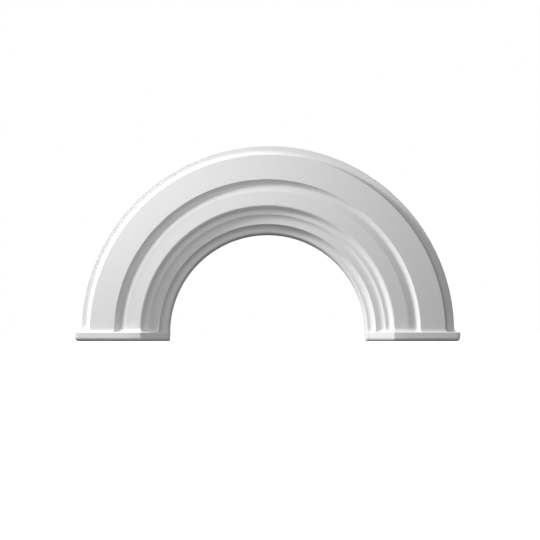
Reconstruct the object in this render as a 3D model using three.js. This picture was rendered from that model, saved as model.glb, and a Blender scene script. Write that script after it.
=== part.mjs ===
// Arch trim moulding: a half-round surround that is moulded as one piece, stands on its two feet
// and is fixed with its flat back against a wall. Sizes are in millimetres and +Z is up. The origin
// is on the ground, midway between the feet and midway from the back to the front. The front faces -Y.

import * as THREE from "three";

// Opening: the clear width between the feet, and how far the arch's centre is above the ground
const openingWidth = 610;
const springHeight = 27;

// Reveal, from the wall forwards: a straight jamb, a rounded edge, then three treads, each with a
// curved riser behind it. The inner two risers are hollow, and the outer one is a hollow and a round.
const jambDepth = 33;
const jambRoundingWidth = 7.5;
const jambRoundingDepth = 14;
const innerTread = 4.5;
const innerHollowWidth = 17;
const innerHollowDepth = 18;
const middleTread = 14.5;
const middleHollowWidth = 15;
const middleHollowDepth = 6.5;
const outerTread = 9.5;
const outerHollowWidth = 10.5;
const outerHollowDepth = 8.5;
const outerRoundWidth = 8;
const outerRoundDepth = 6.5;
const riserDegrees = 50;

// Face, from the reveal outwards: inner band, groove with a long slope and a hollow side, outer band
const innerBandWidth = 41;
const slopeWidth = 21.5;
const slopeDrop = 4.2;
const slopeBulge = 0.2;
const grooveHollowWidth = 14;
const outerBandLift = 7.5;
const outerBandWidth = 77;

// Outer edge: a cove behind the outer band, a fillet that rises a little from the cove to its outer
// side, and a rounded corner
const edgeCoveWidth = 12;
const edgeCoveDrop = 12.5;
const filletWidth = 13.5;
const filletRise = 1;
const edgeRounding = 2.5;

// Foot moulding: how far it stands out at its end, in front and at its corner towards the opening,
// how deep its splayed inner face is, and its heights from the ground up
const footEndProjection = 15.5;
const footFrontProjection = 6.5;
const footCornerProjection = 4;
const footSplayDepth = 52;
const footRounding = 11.5;
const footFaceHeight = 16;
const footCoveHeight = 12;

// Fineness of the facets
const coveSteps = 6;
const riserSteps = 4;
const roundingSteps = 3;
const footSteps = 4;
const degreesPerStep = 3;

const surface = { color: 0xf2f1ef, roughness: 0.55, metalness: 0 };

// Radii from the arch's centre, and heights above the wall, where one member meets the next
const jambRadius = openingWidth / 2;
const revealRadius = jambRadius + jambRoundingWidth;
const revealLevel = jambDepth + jambRoundingDepth;
const innerArrisRadius = revealRadius + innerTread + innerHollowWidth;
const innerArrisLevel = revealLevel + innerHollowDepth;
const middleArrisRadius = innerArrisRadius + middleTread + middleHollowWidth;
const middleArrisLevel = innerArrisLevel + middleHollowDepth;
const outerTurnRadius = middleArrisRadius + outerTread + outerHollowWidth;
const outerTurnLevel = middleArrisLevel + outerHollowDepth;
const cornerRadius = outerTurnRadius + outerRoundWidth;
const innerBandLevel = outerTurnLevel + outerRoundDepth;
const slopeRadius = cornerRadius + innerBandWidth;
const grooveRadius = slopeRadius + slopeWidth;
const grooveLevel = innerBandLevel - slopeDrop;
const outerBandLevel = innerBandLevel + outerBandLift;
const outerBandRadius = grooveRadius + grooveHollowWidth;
const edgeCoveRadius = outerBandRadius + outerBandWidth;
const filletRadius = edgeCoveRadius + edgeCoveWidth;
const filletLevel = outerBandLevel - edgeCoveDrop + filletRise;
const edgeRadius = filletRadius + filletWidth;
const outerRadius = edgeRadius + edgeRounding;

const footEndRadius = outerRadius + footEndProjection;
const footFrontLevel = outerBandLevel + footFrontProjection;
const footFaceTop = footRounding + footFaceHeight;
const footTop = footFaceTop + footCoveHeight;
const footCornerRadius = cornerRadius - footCornerProjection;
const footSplay = footSplayDepth / (footCornerRadius - revealRadius);
const backY = footFrontLevel / 2;

// Directions from a curve's centre in the section: outwards from the wall, towards the opening, and
// towards the wall
const quarterTurn = Math.PI / 2;
const fromTop = quarterTurn;
const fromInside = 2 * quarterTurn;
const fromBelow = 3 * quarterTurn;

// Part of an ellipse, as the points after its first one. A negative sweep runs clockwise.
function arc(centreX, centreY, radiusX, radiusY, start, sweep, steps) {
  const curve = new THREE.EllipseCurve(
    centreX,
    centreY,
    radiusX,
    radiusY,
    start,
    start + sweep,
    sweep < 0,
  );
  return curve.getPoints(steps).slice(1);
}

// A riser that begins level at a point and curves up from it, away from the opening
function hollow(radius, level, width, depth) {
  const turn = THREE.MathUtils.degToRad(riserDegrees);
  const radiusX = width / Math.sin(turn);
  const radiusY = depth / (1 - Math.cos(turn));
  return arc(radius, level + radiusY, radiusX, radiusY, fromBelow, turn, riserSteps);
}

// A riser that ends level at a point and bulges on its way up to it
function round(radius, level, width, depth) {
  const turn = THREE.MathUtils.degToRad(riserDegrees);
  const radiusX = width / Math.sin(turn);
  const radiusY = depth / (1 - Math.cos(turn));
  return arc(radius, level - radiusY, radiusX, radiusY, fromTop + turn, -turn, riserSteps);
}

// The groove's slope, which bulges a little above the straight line from its start to its end
function bulgingSlope() {
  const start = new THREE.Vector2(slopeRadius, innerBandLevel);
  const end = new THREE.Vector2(grooveRadius, grooveLevel);
  const outwards = new THREE.Vector2(slopeDrop, slopeWidth).setLength(2 * slopeBulge);
  const middle = start.clone().lerp(end, 0.5).add(outwards);
  return new THREE.QuadraticBezierCurve(start, middle, end).getPoints(riserSteps).slice(1);
}

// The moulding's section, from the jamb's back edge round to the outer edge's back corner:
// x is the radius from the arch's centre and y is the height above the wall
function archSection() {
  const corner = (radius, level) => [new THREE.Vector2(radius, level)];
  return [
    corner(jambRadius, 0),
    corner(jambRadius, jambDepth),
    arc(
      revealRadius,
      jambDepth,
      jambRoundingWidth,
      jambRoundingDepth,
      fromInside,
      -quarterTurn,
      roundingSteps,
    ),
    corner(revealRadius + innerTread, revealLevel),
    hollow(revealRadius + innerTread, revealLevel, innerHollowWidth, innerHollowDepth),
    corner(innerArrisRadius + middleTread, innerArrisLevel),
    hollow(innerArrisRadius + middleTread, innerArrisLevel, middleHollowWidth, middleHollowDepth),
    corner(middleArrisRadius + outerTread, middleArrisLevel),
    hollow(middleArrisRadius + outerTread, middleArrisLevel, outerHollowWidth, outerHollowDepth),
    round(cornerRadius, innerBandLevel, outerRoundWidth, outerRoundDepth),
    corner(slopeRadius, innerBandLevel),
    bulgingSlope(),
    hollow(grooveRadius, grooveLevel, grooveHollowWidth, outerBandLevel - grooveLevel),
    corner(edgeCoveRadius, outerBandLevel),
    arc(
      filletRadius,
      outerBandLevel,
      edgeCoveWidth,
      edgeCoveDrop,
      fromInside,
      quarterTurn,
      coveSteps,
    ),
    corner(edgeRadius, filletLevel),
    arc(
      edgeRadius,
      filletLevel - edgeRounding,
      edgeRounding,
      edgeRounding,
      fromTop,
      -quarterTurn,
      roundingSteps,
    ),
    corner(outerRadius, 0),
  ].flat();
}

// Where a point of the section lies on the foot moulding's plain faces, which are a splayed face in
// front of the reveal's risers, a front face and an end face, each set back by the same inset
function footPoint(point, inset) {
  const splaySetBack = inset * Math.hypot(1, footSplay);
  const lift = footFrontLevel - footSplayDepth - revealLevel - splaySetBack;
  const frontLevel = footFrontLevel - inset;
  const corner = footCornerRadius + (splaySetBack - inset) / footSplay;
  const end = footEndRadius - inset;
  const tolerance = edgeRounding / 100;
  if (point.y < tolerance) {
    return new THREE.Vector2(point.x < cornerRadius ? jambRadius : end, 0);
  }
  if (point.x < revealRadius + tolerance) {
    return new THREE.Vector2(point.x, point.y + lift);
  }
  if (point.x < cornerRadius + tolerance) {
    const share = (point.x - revealRadius) / (cornerRadius - revealRadius);
    return new THREE.Vector2(
      THREE.MathUtils.lerp(revealRadius, corner, share),
      THREE.MathUtils.lerp(revealLevel + lift, frontLevel, share),
    );
  }
  if (point.x < edgeRadius + tolerance) {
    const share = (point.x - cornerRadius) / (edgeRadius - cornerRadius);
    return new THREE.Vector2(THREE.MathUtils.lerp(corner, end, share), frontLevel);
  }
  return new THREE.Vector2(end, (frontLevel * point.y) / filletLevel);
}

// The section cut level at a height, where each radius leans inwards by the arch's own curve
function archAtHeight(section, height) {
  const rise = Math.max(0, height - springHeight);
  return section.map((point) => new THREE.Vector2(Math.sqrt(point.x ** 2 - rise ** 2), point.y));
}

// The level outlines of one foot, from its underside up to where its cove dies into the arch
function footOutlines(section) {
  const outlines = [];
  for (let step = 0; step <= footSteps; step += 1) {
    const turn = (1 - step / footSteps) * quarterTurn;
    const inset = footRounding * (1 - Math.cos(turn));
    const height = footRounding * (1 - Math.sin(turn));
    outlines.push({ height, points: section.map((point) => footPoint(point, inset)) });
  }
  for (let step = 0; step <= footSteps; step += 1) {
    const turn = (1 - step / footSteps) * quarterTurn;
    const height = footTop - footCoveHeight * Math.sin(turn);
    const share = 1 - Math.cos(turn);
    const arch = archAtHeight(section, height);
    const points = section.map((point, index) => arch[index].clone().lerp(footPoint(point, 0), share));
    outlines.push({ height, points });
  }
  if (springHeight > footTop) {
    outlines.push({ height: springHeight, points: section });
  }
  return outlines;
}

// The angle above the springing where the arch is clear of both foot mouldings
function clearDegrees() {
  const rise = Math.max(0, footTop - springHeight);
  const degrees = THREE.MathUtils.radToDeg(Math.asin(rise / jambRadius));
  return (Math.ceil(degrees / degreesPerStep) + 1) * degreesPerStep;
}

// Every outline in its place, from the right foot's underside over the crown to the left foot's
function placedOutlines() {
  const section = archSection();
  const foot = footOutlines(section);
  const levelOutline = ({ height, points }, side) =>
    points.map((point) => new THREE.Vector3(side * point.x, backY - point.y, height));
  const placed = foot.map((outline) => levelOutline(outline, 1));
  const lastDegrees = 180 - clearDegrees();
  for (let degrees = clearDegrees(); degrees <= lastDegrees; degrees += degreesPerStep) {
    const turn = THREE.MathUtils.degToRad(degrees);
    placed.push(
      section.map(
        (point) =>
          new THREE.Vector3(
            point.x * Math.cos(turn),
            backY - point.y,
            springHeight + point.x * Math.sin(turn),
          ),
      ),
    );
  }
  foot.reverse().forEach((outline) => placed.push(levelOutline(outline, -1)));
  return placed;
}

// One closed skin over a row of outlines, with a flat cap on the first and on the last. The second
// half of the row is split along the other diagonals, so that the two halves mirror each other.
function skinOver(outlines) {
  const count = outlines[0].length;
  const positions = outlines.flat();
  const indices = [];
  for (let ring = 0; ring < outlines.length - 1; ring += 1) {
    for (let index = 0; index < count; index += 1) {
      const near = ring * count + index;
      const next = ring * count + ((index + 1) % count);
      const isFirstHalf = ring < (outlines.length - 1) / 2;
      indices.push(near, next, isFirstHalf ? near + count : next + count);
      indices.push(isFirstHalf ? next : near, next + count, near + count);
    }
  }
  const capMiddle = (outline) => new THREE.Box3().setFromPoints(outline).getCenter(new THREE.Vector3());
  const lastRing = (outlines.length - 1) * count;
  const firstMiddle = positions.push(capMiddle(outlines[0])) - 1;
  const lastMiddle = positions.push(capMiddle(outlines[outlines.length - 1])) - 1;
  for (let index = 0; index < count; index += 1) {
    const next = (index + 1) % count;
    indices.push(firstMiddle, next, index);
    indices.push(lastMiddle, lastRing + index, lastRing + next);
  }
  const geometry = new THREE.BufferGeometry().setFromPoints(positions);
  geometry.setIndex(indices);
  geometry.computeVertexNormals();
  return geometry;
}

const archTrim = new THREE.Mesh(skinOver(placedOutlines()), new THREE.MeshStandardMaterial(surface));
archTrim.name = "arch_trim";

const part = new THREE.Group();
part.add(archTrim);

export default part;
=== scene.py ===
# %% [markdown]
# # A half-round arch trim, modelled the way it is moulded
# The real piece is a white architectural moulding that frames the top of a round-headed door or
# window. It comes out of its mould in one casting: a stepped reveal with three curved risers, a narrow
# band, a groove, a wide band, a hollow outer edge, and a small foot moulding at each end. This lesson
# draws its section once, turns that section round the arch, and carries it down into the feet.

import math

import bmesh
import bpy
from mathutils import Matrix, Vector


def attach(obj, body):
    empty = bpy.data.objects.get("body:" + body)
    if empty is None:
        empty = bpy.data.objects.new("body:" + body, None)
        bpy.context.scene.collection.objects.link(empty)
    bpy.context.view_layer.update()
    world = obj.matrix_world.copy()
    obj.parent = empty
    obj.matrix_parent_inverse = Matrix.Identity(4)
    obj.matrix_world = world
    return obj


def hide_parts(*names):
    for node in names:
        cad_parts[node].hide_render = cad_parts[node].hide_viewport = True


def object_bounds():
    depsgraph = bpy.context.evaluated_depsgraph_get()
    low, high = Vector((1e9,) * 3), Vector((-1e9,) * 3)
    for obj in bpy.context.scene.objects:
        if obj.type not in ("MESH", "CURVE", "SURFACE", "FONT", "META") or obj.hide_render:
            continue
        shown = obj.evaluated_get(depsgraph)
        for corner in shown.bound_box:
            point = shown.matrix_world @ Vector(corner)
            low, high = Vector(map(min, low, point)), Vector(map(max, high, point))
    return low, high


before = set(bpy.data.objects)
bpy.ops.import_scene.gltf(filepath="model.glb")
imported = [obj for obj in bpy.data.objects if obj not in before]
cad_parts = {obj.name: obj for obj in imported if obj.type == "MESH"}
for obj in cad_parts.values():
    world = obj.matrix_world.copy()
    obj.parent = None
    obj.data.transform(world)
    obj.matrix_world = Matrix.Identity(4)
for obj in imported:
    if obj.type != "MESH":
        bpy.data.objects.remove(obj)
solid_low, solid_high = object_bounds()
print("solid box in metres:", tuple(solid_low), tuple(solid_high))

# %% [markdown]
# ## Sizes
# Every member of a moulding has its own width and its own depth, and a joiner would read them off a
# full-size section. They could be read back from the solid's points, but a handful of named sizes is
# easier to follow and to change. Radii count from the arch's centre, and levels from the wall.

# %% Sizes of the members
mm = 0.001

jamb_radius = 305 * mm
jamb_depth = 33 * mm
jamb_rounding_width = 7.5 * mm
jamb_rounding_depth = 14 * mm
inner_tread = 4.5 * mm
inner_hollow_width = 17 * mm
inner_hollow_depth = 18 * mm
middle_tread = 14.5 * mm
middle_hollow_width = 15 * mm
middle_hollow_depth = 6.5 * mm
outer_tread = 9.5 * mm
outer_hollow_width = 10.5 * mm
outer_hollow_depth = 8.5 * mm
outer_round_width = 8 * mm
outer_round_depth = 6.5 * mm
riser_turn = math.radians(50)

inner_band_width = 41 * mm
slope_width = 21.5 * mm
slope_drop = 4.2 * mm
slope_bulge = 0.2 * mm
groove_hollow_width = 14 * mm
outer_band_lift = 7.5 * mm
outer_band_width = 77 * mm
edge_cove_width = 12 * mm
edge_cove_drop = 12.5 * mm
fillet_rise = 1 * mm
fillet_width = 13.5 * mm
edge_rounding = 2.5 * mm

spring_height = 27 * mm
foot_end_projection = 15.5 * mm
foot_front_projection = 6.5 * mm
foot_corner_projection = 4 * mm
foot_splay_depth = 52 * mm
foot_rounding = 11.5 * mm
foot_face_height = 16 * mm
foot_cove_height = 12 * mm

# %% Radii and levels where one member meets the next
reveal_radius = jamb_radius + jamb_rounding_width
reveal_level = jamb_depth + jamb_rounding_depth
inner_arris_radius = reveal_radius + inner_tread + inner_hollow_width
inner_arris_level = reveal_level + inner_hollow_depth
middle_arris_radius = inner_arris_radius + middle_tread + middle_hollow_width
middle_arris_level = inner_arris_level + middle_hollow_depth
outer_turn_radius = middle_arris_radius + outer_tread + outer_hollow_width
outer_turn_level = middle_arris_level + outer_hollow_depth
corner_radius = outer_turn_radius + outer_round_width
inner_band_level = outer_turn_level + outer_round_depth
slope_radius = corner_radius + inner_band_width
groove_radius = slope_radius + slope_width
groove_level = inner_band_level - slope_drop
outer_band_level = inner_band_level + outer_band_lift
outer_band_radius = groove_radius + groove_hollow_width
edge_cove_radius = outer_band_radius + outer_band_width
fillet_radius = edge_cove_radius + edge_cove_width
fillet_level = outer_band_level - edge_cove_drop + fillet_rise
edge_radius = fillet_radius + fillet_width
outer_radius = edge_radius + edge_rounding
foot_end_radius = outer_radius + foot_end_projection
foot_front_level = outer_band_level + foot_front_projection
foot_face_top = foot_rounding + foot_face_height
foot_top = foot_face_top + foot_cove_height
foot_corner_radius = corner_radius - foot_corner_projection
foot_splay = foot_splay_depth / (foot_corner_radius - reveal_radius)
wall_y = solid_high.y
arch_centre = Vector((0, 0, spring_height))
print("outer radius", outer_radius, "front level", foot_front_level, "foot top", foot_top)

# %% [markdown]
# ## Camera
# The picture is taken square on, from 3.6 m away and from the height of the springing line, so the
# rings stay round. The horizon then lies low in the frame. Tilting the camera up would do that too,
# but it would squash the crown a little, so the lens is shifted instead, as an architectural
# photographer does.

# %% Camera
image_width = 540
focal_pixels = 1146.8
camera_distance = 3.6
centre_column = 267.5
centre_row = 332.5
sensor_width = 36

lens = bpy.data.cameras.new("camera")
lens.sensor_width = sensor_width
lens.lens = focal_pixels / image_width * sensor_width
lens.shift_x = -(centre_column - image_width / 2) / image_width
lens.shift_y = (centre_row - image_width / 2) / image_width
camera = bpy.data.objects.new("camera", lens)
camera.location = (0, wall_y - camera_distance, spring_height)
camera.rotation_euler = (math.pi / 2, 0, 0)
bpy.context.scene.collection.objects.link(camera)
bpy.context.scene.camera = camera
print("lens", round(lens.lens, 2), "shift", round(lens.shift_x, 4), round(lens.shift_y, 4))

# %% [markdown]
# ## Floor
# The trim stands on a plain pale floor. A real floor would throw light up under the mouldings and hide
# their shadows. This one is hidden from the rays that carry soft light and reflections, so it sends
# nothing back up, and the faces that look down stay grey.

# %% Floor
floor_half_width = 12

floor_mesh = bpy.data.meshes.new("floor")
floor_build = bmesh.new()
bmesh.ops.create_grid(floor_build, x_segments=1, y_segments=1, size=floor_half_width)
floor_build.to_mesh(floor_mesh)
floor_build.free()
floor = bpy.data.objects.new("floor", floor_mesh)
floor.visible_diffuse = False
floor.visible_glossy = False
bpy.context.scene.collection.objects.link(floor)
print("floor is", 2 * floor_half_width, "m wide")

# %% [markdown]
# ## Softboxes
# White mouldings are photographed in raking light, because a white thing in flat light shows no
# members at all. A strong softbox stands at the upper left and barely in front of the face, so hollows
# that face it turn white, hollows that turn away go grey, and the bands fade from left to right. A
# weak one straight in front lifts the face a little, and one behind lights the back for other views.
# A sun lamp would be simpler, but its light wouldn't fade across the bands.

# %% A softbox
def softbox(name, place, target, size, power):
    """A square lamp that faces a point."""
    lamp = bpy.data.lights.new(name, "AREA")
    lamp.size = size
    lamp.energy = power
    lamp_object = bpy.data.objects.new(name, lamp)
    lamp_object.location = place
    facing = Vector(target) - Vector(place)
    lamp_object.rotation_euler = facing.to_track_quat("-Z", "Y").to_euler()
    bpy.context.scene.collection.objects.link(lamp_object)
    print(name, "stands at", tuple(round(side, 3) for side in place))


# %% Raking softbox
raking_distance = 2.58
raking_angle = math.radians(144.8)
raking_front = 0.555
raking_size = 0.56
raking_power = 89
raking_place = (
    raking_distance * math.cos(raking_angle),
    wall_y - outer_band_level - raking_front,
    spring_height + raking_distance * math.sin(raking_angle),
)
raking_target = (0.1, wall_y - inner_band_level, 0.25)
softbox("raking_softbox", raking_place, raking_target, raking_size, raking_power)

# %% Front and back softboxes
front_distance = 1.25
front_side = -0.15
front_height = 0.55
front_size = 0.6
front_power = 4
front_place = (front_side, wall_y - front_distance, front_height)
softbox("front_softbox", front_place, (front_side, 0, front_height), front_size, front_power)

back_place = (0.9, 2.6, 1.6)
back_target = (0, 0.1, 0.3)
back_size = 1.6
back_power = 26
softbox("back_softbox", back_place, back_target, back_size, back_power)

# %% [markdown]
# ## A short way to write shader maths
# A finish is easier to read as a sum than as a row of nodes. The class below wraps a socket, so that
# `height * 0.5 + grain` adds its own Math nodes. Every other node comes from one method, which sets
# the node's settings first and then its sockets.

# %% Shader maths helper
class Wire:
    """A node's output that can be added and multiplied."""

    def __init__(self, shader, socket):
        self.shader = shader
        self.socket = socket

    def _maths(self, operation, first, second):
        return self.shader.node("ShaderNodeMath", {"operation": operation}, {0: first, 1: second})

    def __add__(self, other):
        return self._maths("ADD", self, other)

    def __mul__(self, other):
        return self._maths("MULTIPLY", self, other)

    __radd__ = __add__
    __rmul__ = __mul__


class Shader:
    """A node tree that starts empty."""

    def __init__(self, tree):
        self.tree = tree
        tree.nodes.clear()

    def node(self, kind, settings=None, sockets=None, output=0):
        """A new node with its settings and sockets filled in, given back as the wire it puts out."""
        made = self.tree.nodes.new(kind)
        for setting, value in (settings or {}).items():
            setattr(made, setting, value)
        for socket, value in (sockets or {}).items():
            if isinstance(value, Wire):
                self.tree.links.new(value.socket, made.inputs[socket])
            else:
                made.inputs[socket].default_value = value
        return Wire(self, made.outputs[output]) if made.outputs else made


# %% [markdown]
# ## World light
# The world gives the object its soft light, and gives the camera plain white behind it. Two
# backgrounds are mixed: rays from the camera see the white one, and all other rays see the dimmer one,
# which is a little stronger from above. The Standard view leaves white as white.

# %% World light
white = (1, 1, 1, 1)
soft_white = (1, 0.975, 0.985, 1)
all_round_light = 0.174
more_from_above = 0.1
backdrop_light = 1.0

world = bpy.data.worlds.new("studio")
world.use_nodes = True
bpy.context.scene.world = world
bpy.context.scene.view_settings.view_transform = "Standard"
studio = Shader(world.node_tree)
seen_by_camera = studio.node("ShaderNodeLightPath", output="Is Camera Ray")
direction = studio.node("ShaderNodeTexCoord", output="Generated")
upward = studio.node("ShaderNodeSeparateXYZ", sockets={0: direction}, output="Z")
soft_strength = upward * more_from_above + all_round_light
soft_light = studio.node("ShaderNodeBackground", sockets={"Color": soft_white, "Strength": soft_strength})
backdrop = studio.node("ShaderNodeBackground", sockets={"Color": white, "Strength": backdrop_light})
mixed = studio.node("ShaderNodeMixShader", sockets={0: seen_by_camera, 1: soft_light, 2: backdrop})
studio.node("ShaderNodeOutputWorld", sockets={"Surface": mixed})
light_below = all_round_light - more_from_above
light_above = all_round_light + more_from_above
print("soft light is", round(light_below, 3), "below and", round(light_above, 3), "above")

# %% [markdown]
# The floor's finish glows a little. A floor that only reflected would turn grey under these lights and
# show a horizon line against the white backdrop.

# %% Floor finish
floor_white = (0.9, 0.9, 0.9, 1)
floor_roughness = 0.9
floor_glow = 0.8

floor_material = bpy.data.materials.new("pale_floor")
floor_material.use_nodes = True
floor_shader = Shader(floor_material.node_tree)
floor_surface = floor_shader.node(
    "ShaderNodeBsdfPrincipled",
    sockets={
        "Base Color": floor_white,
        "Roughness": floor_roughness,
        "Emission Color": white,
        "Emission Strength": floor_glow,
    },
)
floor_shader.node("ShaderNodeOutputMaterial", sockets={"Surface": floor_surface})
floor_mesh.materials.append(floor_material)
print("floor finish has", len(floor_material.node_tree.nodes), "nodes")

# %% [markdown]
# ## The section
# A plasterer cuts a zinc profile and runs it along the wet work. Here the profile is drawn the same
# way: straight runs are extruded from the last point, and each hollow or round is that point spun
# about a centre and then stretched to its width and depth. A curve object could be drawn by hand
# instead, but then no width or depth would be exact. The section lies level at the springing line,
# with its radius along +X and its front towards -Y.

# %% Three ways to go on from the last point
quarter_turn = math.pi / 2
round_out = 1
hollow = -1
fine_steps = 12
riser_steps = 8
rounding_steps = 6
section = bmesh.new()


def place(radius, level):
    """A point of the section in the model's frame."""
    return Vector((radius, wall_y - level, spring_height))


def run_to(last, radius, level):
    """A straight run from the last point."""
    run = bmesh.ops.extrude_vert_indiv(section, verts=[last])
    run["verts"][0].co = place(radius, level)
    return run["verts"][0]


def swing(last, radius, level, angle, steps, stretch=1):
    """The last point spun about a centre. The arc can be stretched across, which makes it oval."""
    centre = place(radius, level)
    about_centre = Matrix.Translation(-centre)
    bmesh.ops.scale(section, vec=(1 / stretch, 1, 1), space=about_centre, verts=[last])
    before = set(section.verts)
    spun = bmesh.ops.spin(section, geom=[last], cent=centre, axis=(0, 0, 1), angle=angle, steps=steps)
    swung = [last] + [corner for corner in section.verts if corner not in before]
    bmesh.ops.scale(section, vec=(stretch, 1, 1), space=about_centre, verts=swung)
    return next(part for part in spun["geom_last"] if isinstance(part, bmesh.types.BMVert))


def riser(last, radius, level, width, depth, way):
    """A hollow or round riser. Its curve is level at the radius and level that are given."""
    drop = depth / (1 - math.cos(riser_turn))
    stretch = width / math.sin(riser_turn) / drop
    return swing(last, radius, level - way * drop, way * riser_turn, riser_steps, stretch)


# %% Draw the reveal
first = bmesh.ops.create_vert(section, co=place(jamb_radius, 0))["vert"][0]
last = run_to(first, jamb_radius, jamb_depth)
jamb_stretch = jamb_rounding_width / jamb_rounding_depth
last = swing(last, reveal_radius, jamb_depth, round_out * quarter_turn, rounding_steps, jamb_stretch)
last = run_to(last, reveal_radius + inner_tread, reveal_level)
last = riser(last, last.co.x, reveal_level, inner_hollow_width, inner_hollow_depth, hollow)
last = run_to(last, inner_arris_radius + middle_tread, inner_arris_level)
last = riser(last, last.co.x, inner_arris_level, middle_hollow_width, middle_hollow_depth, hollow)
last = run_to(last, middle_arris_radius + outer_tread, middle_arris_level)
last = riser(last, last.co.x, middle_arris_level, outer_hollow_width, outer_hollow_depth, hollow)
last = riser(last, corner_radius, inner_band_level, outer_round_width, outer_round_depth, round_out)
print("reveal ends at radius", round(last.co.x, 5), "level", round(wall_y - last.co.y, 5))

# %% [markdown]
# The groove starts with a long shallow slope that swells by a hair. Its arc is found from the straight
# line between its ends and from how far it bulges past the middle of that line.

# %% Draw the inner band and the slope
last = run_to(last, slope_radius, inner_band_level)
chord = Vector((slope_width, -slope_drop))
bulge_radius = (chord.length**2 / 4 + slope_bulge**2) / (2 * slope_bulge)
bulge_angle = 2 * math.asin(chord.length / 2 / bulge_radius)
inwards = Vector((-slope_drop, -slope_width)).normalized()
chord_middle = Vector((slope_radius, inner_band_level)) + chord / 2
bulge_centre = chord_middle + inwards * (bulge_radius - slope_bulge)
last = swing(last, bulge_centre.x, bulge_centre.y, round_out * bulge_angle, rounding_steps)
print("slope ends at radius", round(last.co.x, 5), "level", round(wall_y - last.co.y, 5))

# %% Draw the groove's hollow side, the outer band and the outer edge
groove_hollow_depth = outer_band_level - groove_level
last = riser(last, groove_radius, groove_level, groove_hollow_width, groove_hollow_depth, hollow)
last = run_to(last, edge_cove_radius, outer_band_level)
cove_stretch = edge_cove_width / edge_cove_drop
last = swing(last, fillet_radius, outer_band_level, hollow * quarter_turn, fine_steps, cove_stretch)
last = run_to(last, edge_radius, fillet_level)
last = swing(last, edge_radius, fillet_level - edge_rounding, round_out * quarter_turn, rounding_steps)
last = run_to(last, outer_radius, 0)
bmesh.ops.contextual_create(section, geom=[last, first])
print("section drawn with", len(section.verts), "points")

# %% [markdown]
# No moulding leaves its mould with knife edges, and the primer fills every inner corner a little. The
# section is filled for a moment, because the bevel operator can then round its corners in the flat.
# Each long straight run also gets a point near both ends, which keeps the smooth shading of an edge
# from spreading over a whole flat band.

# %% Soften the arrises
arris = 1.1 * mm
arris_steps = 3
sharp_from = math.radians(25)
long_run = 5 * mm
guard = 1.3 * mm

bmesh.ops.contextual_create(section, geom=section.edges[:])
sharp = [corner for corner in section.verts if abs(corner.calc_edge_angle()) > sharp_from]
bmesh.ops.bevel(
    section,
    geom=sharp,
    offset=arris,
    segments=arris_steps,
    profile=0.5,
    affect="VERTICES",
    material=-1,
)
bmesh.ops.delete(section, geom=section.faces[:], context="FACES_ONLY")
for run in [edge for edge in section.edges if edge.calc_length() > long_run]:
    near_end, far_end = run.verts
    _, added = bmesh.utils.edge_split(run, near_end, guard / run.calc_length())
    rest = next(edge for edge in added.link_edges if far_end in edge.verts)
    bmesh.utils.edge_split(rest, far_end, guard / rest.calc_length())
print(len(sharp), "corners rounded,", len(section.verts), "points in all")

# %% [markdown]
# ## Turn the section round the arch
# Only the right half is turned, from just above the foot moulding up to the crown, because a mirror
# then gives the left half for nothing and the two match exactly. A curve with the section as its bevel
# would give the arch too, but the feet would then be separate meshes with a seam. Each point first
# writes down its own radius and level. Those two numbers ride along through every later step, and tell
# the foot where each point came from.

# %% Spin the right half
clear_of_foot = math.radians(4)
steps_per_degree = 1

radius_note = section.verts.layers.float.new("radius")
level_note = section.verts.layers.float.new("level")
for corner in section.verts:
    corner[radius_note] = corner.co.x
    corner[level_note] = wall_y - corner.co.y
foot_way = Matrix.Rotation(-clear_of_foot, 3, "Y")
bmesh.ops.rotate(section, cent=arch_centre, matrix=foot_way, verts=section.verts[:])
lowest_loop = section.edges[:]
bmesh.ops.spin(
    section,
    geom=section.verts[:] + section.edges[:],
    cent=arch_centre,
    axis=(0, -1, 0),
    angle=quarter_turn - clear_of_foot,
    steps=round(math.degrees(quarter_turn - clear_of_foot) * steps_per_degree),
)
print("half arch:", len(section.faces), "faces")

# %% [markdown]
# ## The foot moulding
# At the springing line the casting swells into a small moulding: a hollow, an upright face and a
# rounded lower edge. Its plan is simpler than the arch's section. It has one splayed face in front of
# the reveal's risers, one front face and one end face. A separate block could be set under the arch,
# but the real one has no joint there. Each point of the section therefore has a partner on that plain
# outline, and the hollow is a blend from one to the other as the loop is extruded down.

# %% Round the corners of the foot's plain outline
mitre = 1.6 * mm


def eased(distance, before, corner, after):
    """A point near a corner of the outline, on a small curve in place of the corner."""
    if abs(distance) >= mitre:
        return corner + (after if distance > 0 else before) * abs(distance)
    share = (distance + mitre) / (2 * mitre)
    start = corner + before * mitre
    end = corner + after * mitre
    return start * (1 - share) ** 2 + corner * 2 * share * (1 - share) + end * share**2


# %% Where a point of the section lies on the plain outline of the foot
hair = mitre / 100
outward = Vector((1, 0))
to_wall = Vector((0, -1))


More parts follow.
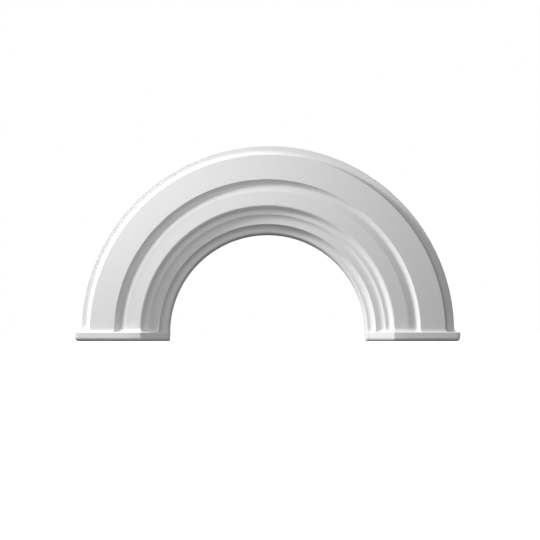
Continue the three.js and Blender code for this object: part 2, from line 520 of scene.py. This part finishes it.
def foot_outline(radius, level, inset):
    """The partner of a section point, as a radius and a level, on the outline set back by an inset."""
    splay_set_back = inset * math.hypot(1, foot_splay)
    lift = foot_front_level - foot_splay_depth - reveal_level - splay_set_back
    front = foot_front_level - inset
    end = foot_end_radius - inset
    corner = Vector((foot_corner_radius + (splay_set_back - inset) / foot_splay, front))
    reveal = Vector((reveal_radius, reveal_level + lift))
    down_splay = (reveal - corner).normalized()
    near_wall = level < jamb_depth / 2
    on_jamb = radius < reveal_radius + hair and level < reveal_level + hair
    if near_wall:
        share = (radius - jamb_radius) / (outer_radius - jamb_radius)
        return Vector((jamb_radius + share * (end - jamb_radius), level))
    if on_jamb:
        return Vector((radius, level + lift))
    if radius < corner_radius:
        share = (corner_radius - radius) / (corner_radius - reveal_radius)
        return eased(-share * (reveal - corner).length, down_splay, corner, outward)
    length = end - corner.x
    share = min(1, (radius - corner_radius) / (edge_radius - corner_radius))
    if share * length < length / 2:
        return eased(share * length, down_splay, corner, outward)
    past = front * (1 - level / fillet_level) if radius > edge_radius else 0
    distance = past if past > 0 else (share - 1) * length
    return eased(distance, -outward, Vector((end, front)), to_wall)


# %% Heights of the loops, from the top of the hollow to the underside
def foot_levels():
    """Each loop's height, its share of the way from the arch to the outline, and its inset."""
    loops = []
    for step in range(fine_steps + 1):
        turn = step / fine_steps * quarter_turn
        loops.append((foot_top - foot_cove_height * math.sin(turn), 1 - math.cos(turn), arris))
    for step in range(1, arris_steps + 1):
        turn = step / arris_steps * quarter_turn
        loops.append((foot_face_top - arris * (1 - math.cos(turn)), 1, arris * (1 - math.sin(turn))))
    loops.append((foot_face_top - arris - guard, 1, 0))
    loops.append((foot_rounding + guard, 1, 0))
    for step in range(fine_steps + 1):
        turn = step / fine_steps * quarter_turn
        height = foot_rounding * (1 - math.sin(turn))
        loops.append((height, 1, foot_rounding * (1 - math.cos(turn))))
    return loops


# %% Extrude the foot down, loop by loop
def set_foot_loop(corners, height, share, inset):
    """Moves a loop to its height, part of the way from the arch's own section to the outline."""
    rise = max(0, height - spring_height)
    for corner in corners:
        radius, level = corner[radius_note], corner[level_note]
        on_arch = Vector((math.sqrt(radius**2 - rise**2), level))
        moved = on_arch.lerp(foot_outline(radius, level, inset), share)
        corner.co = (moved.x, wall_y - moved.y, height)


loop = lowest_loop
for height, share, inset in foot_levels():
    extruded = bmesh.ops.extrude_edge_only(section, edges=loop)["geom"]
    loop = [part for part in extruded if isinstance(part, bmesh.types.BMEdge)]
    loop_corners = {corner for edge in loop for corner in edge.verts}
    set_foot_loop(loop_corners, height, share, inset)
print("foot has", len(foot_levels()), "loops")

# %% Close the underside
underside = bmesh.ops.contextual_create(section, geom=loop)["faces"]
bmesh.ops.inset_region(section, faces=underside, thickness=guard, depth=0)
print("half trim:", len(section.faces), "faces")

# %% [markdown]
# ## Mirror, close and turn the faces outwards
# The crown's open loop lies exactly on the middle plane, so the mirrored half welds onto it. Doubles
# are merged first, and the normals are worked out after that.

# %% Mirror and weld
weld_distance = arris / 100

bmesh.ops.mirror(
    section,
    geom=section.verts[:] + section.edges[:] + section.faces[:],
    matrix=Matrix.Identity(4),
    merge_dist=weld_distance,
    axis="X",
)
bmesh.ops.remove_doubles(section, verts=section.verts[:], dist=weld_distance)
bmesh.ops.recalc_face_normals(section, faces=section.faces[:])
open_edges = sum(1 for edge in section.edges if len(edge.link_faces) != 2)
print(len(section.faces), "faces and", open_edges, "open edges")

# %% Make the trim
for face in section.faces:
    face.smooth = True
trim_mesh = bpy.data.meshes.new("moulded_arch_trim")
volume = section.calc_volume(signed=True)
section.to_mesh(trim_mesh)
section.free()
trim = bpy.data.objects.new("moulded_arch_trim", trim_mesh)
bpy.context.scene.collection.objects.link(trim)
print("trim holds", round(volume, 5), "cubic metres")

# %% [markdown]
# ## Primed white finish
# The casting is taken to be rigid foam with a dense skin, sprayed with white primer at the works. Such
# a skin has a faint orange peel, a slow unevenness left by the mould, and a sheen that comes and goes.
# A painted image could show all that, but it would need to be unwrapped and would show a seam. Noise on
# Object coordinates needs neither. Three sizes of it are used: slow, middling and fine.

# %% Three sizes of noise
slow_patches = 7
middling_patches = 45
peel_patches = 650

primer = bpy.data.materials.new("primed_white")
primer.use_nodes = True
paint = Shader(primer.node_tree)
across = paint.node("ShaderNodeTexCoord", output="Object")


def speckle(patches_per_metre, detail):
    """Noise from 0 to 1. Detail is how many times finer noise is laid over it."""
    sockets = {"Vector": across, "Scale": patches_per_metre, "Detail": detail, "Roughness": 0.5}
    return paint.node("ShaderNodeTexNoise", sockets=sockets)


slow = speckle(slow_patches, 2)
middling = speckle(middling_patches, 3)
peel = speckle(peel_patches, 2)
print("patches to a metre:", slow_patches, middling_patches, peel_patches)

# %% [markdown]
# Each effect is a sum of the three noises, and the numbers are the share that each noise has in it.
# The peel counts for a lot in the sheen and for little in the height, because relief as fine as that
# is steep even when it is shallow. A Mix node for colours takes its factor in socket 0 and its colours
# in sockets 6 and 7, and gives its colour from output 2.

# %% Tone, sheen and relief
duller_white = (0.85, 0.846, 0.847, 1)
brighter_white = (0.89, 0.888, 0.889, 1)
lowest_roughness = 0.42
relief_height = 0.4 * mm
relief_strength = 0.35
primer_ior = 1.45

patchiness = slow * 0.6 + middling * 0.4
tone_sockets = {0: patchiness, 6: duller_white, 7: brighter_white}
tone = paint.node("ShaderNodeMix", {"data_type": "RGBA"}, tone_sockets, output=2)
sheen = lowest_roughness + slow * 0.1 + peel * 0.12
relief = slow * 0.5 + middling * 0.3 + peel * 0.06
bump_sockets = {"Strength": relief_strength, "Distance": relief_height, "Height": relief}
bump = paint.node("ShaderNodeBump", sockets=bump_sockets)

# %% Primed white finish
skin_sockets = {"Base Color": tone, "Roughness": sheen, "Normal": bump, "IOR": primer_ior}
skin = paint.node("ShaderNodeBsdfPrincipled", sockets=skin_sockets)
paint.node("ShaderNodeOutputMaterial", sockets={"Surface": skin})
trim_mesh.materials.append(primer)
print("primed white finish has", len(primer.node_tree.nodes), "nodes")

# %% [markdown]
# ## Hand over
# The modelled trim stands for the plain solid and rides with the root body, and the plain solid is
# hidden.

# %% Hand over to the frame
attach(trim, "root")
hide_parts("arch_trim")
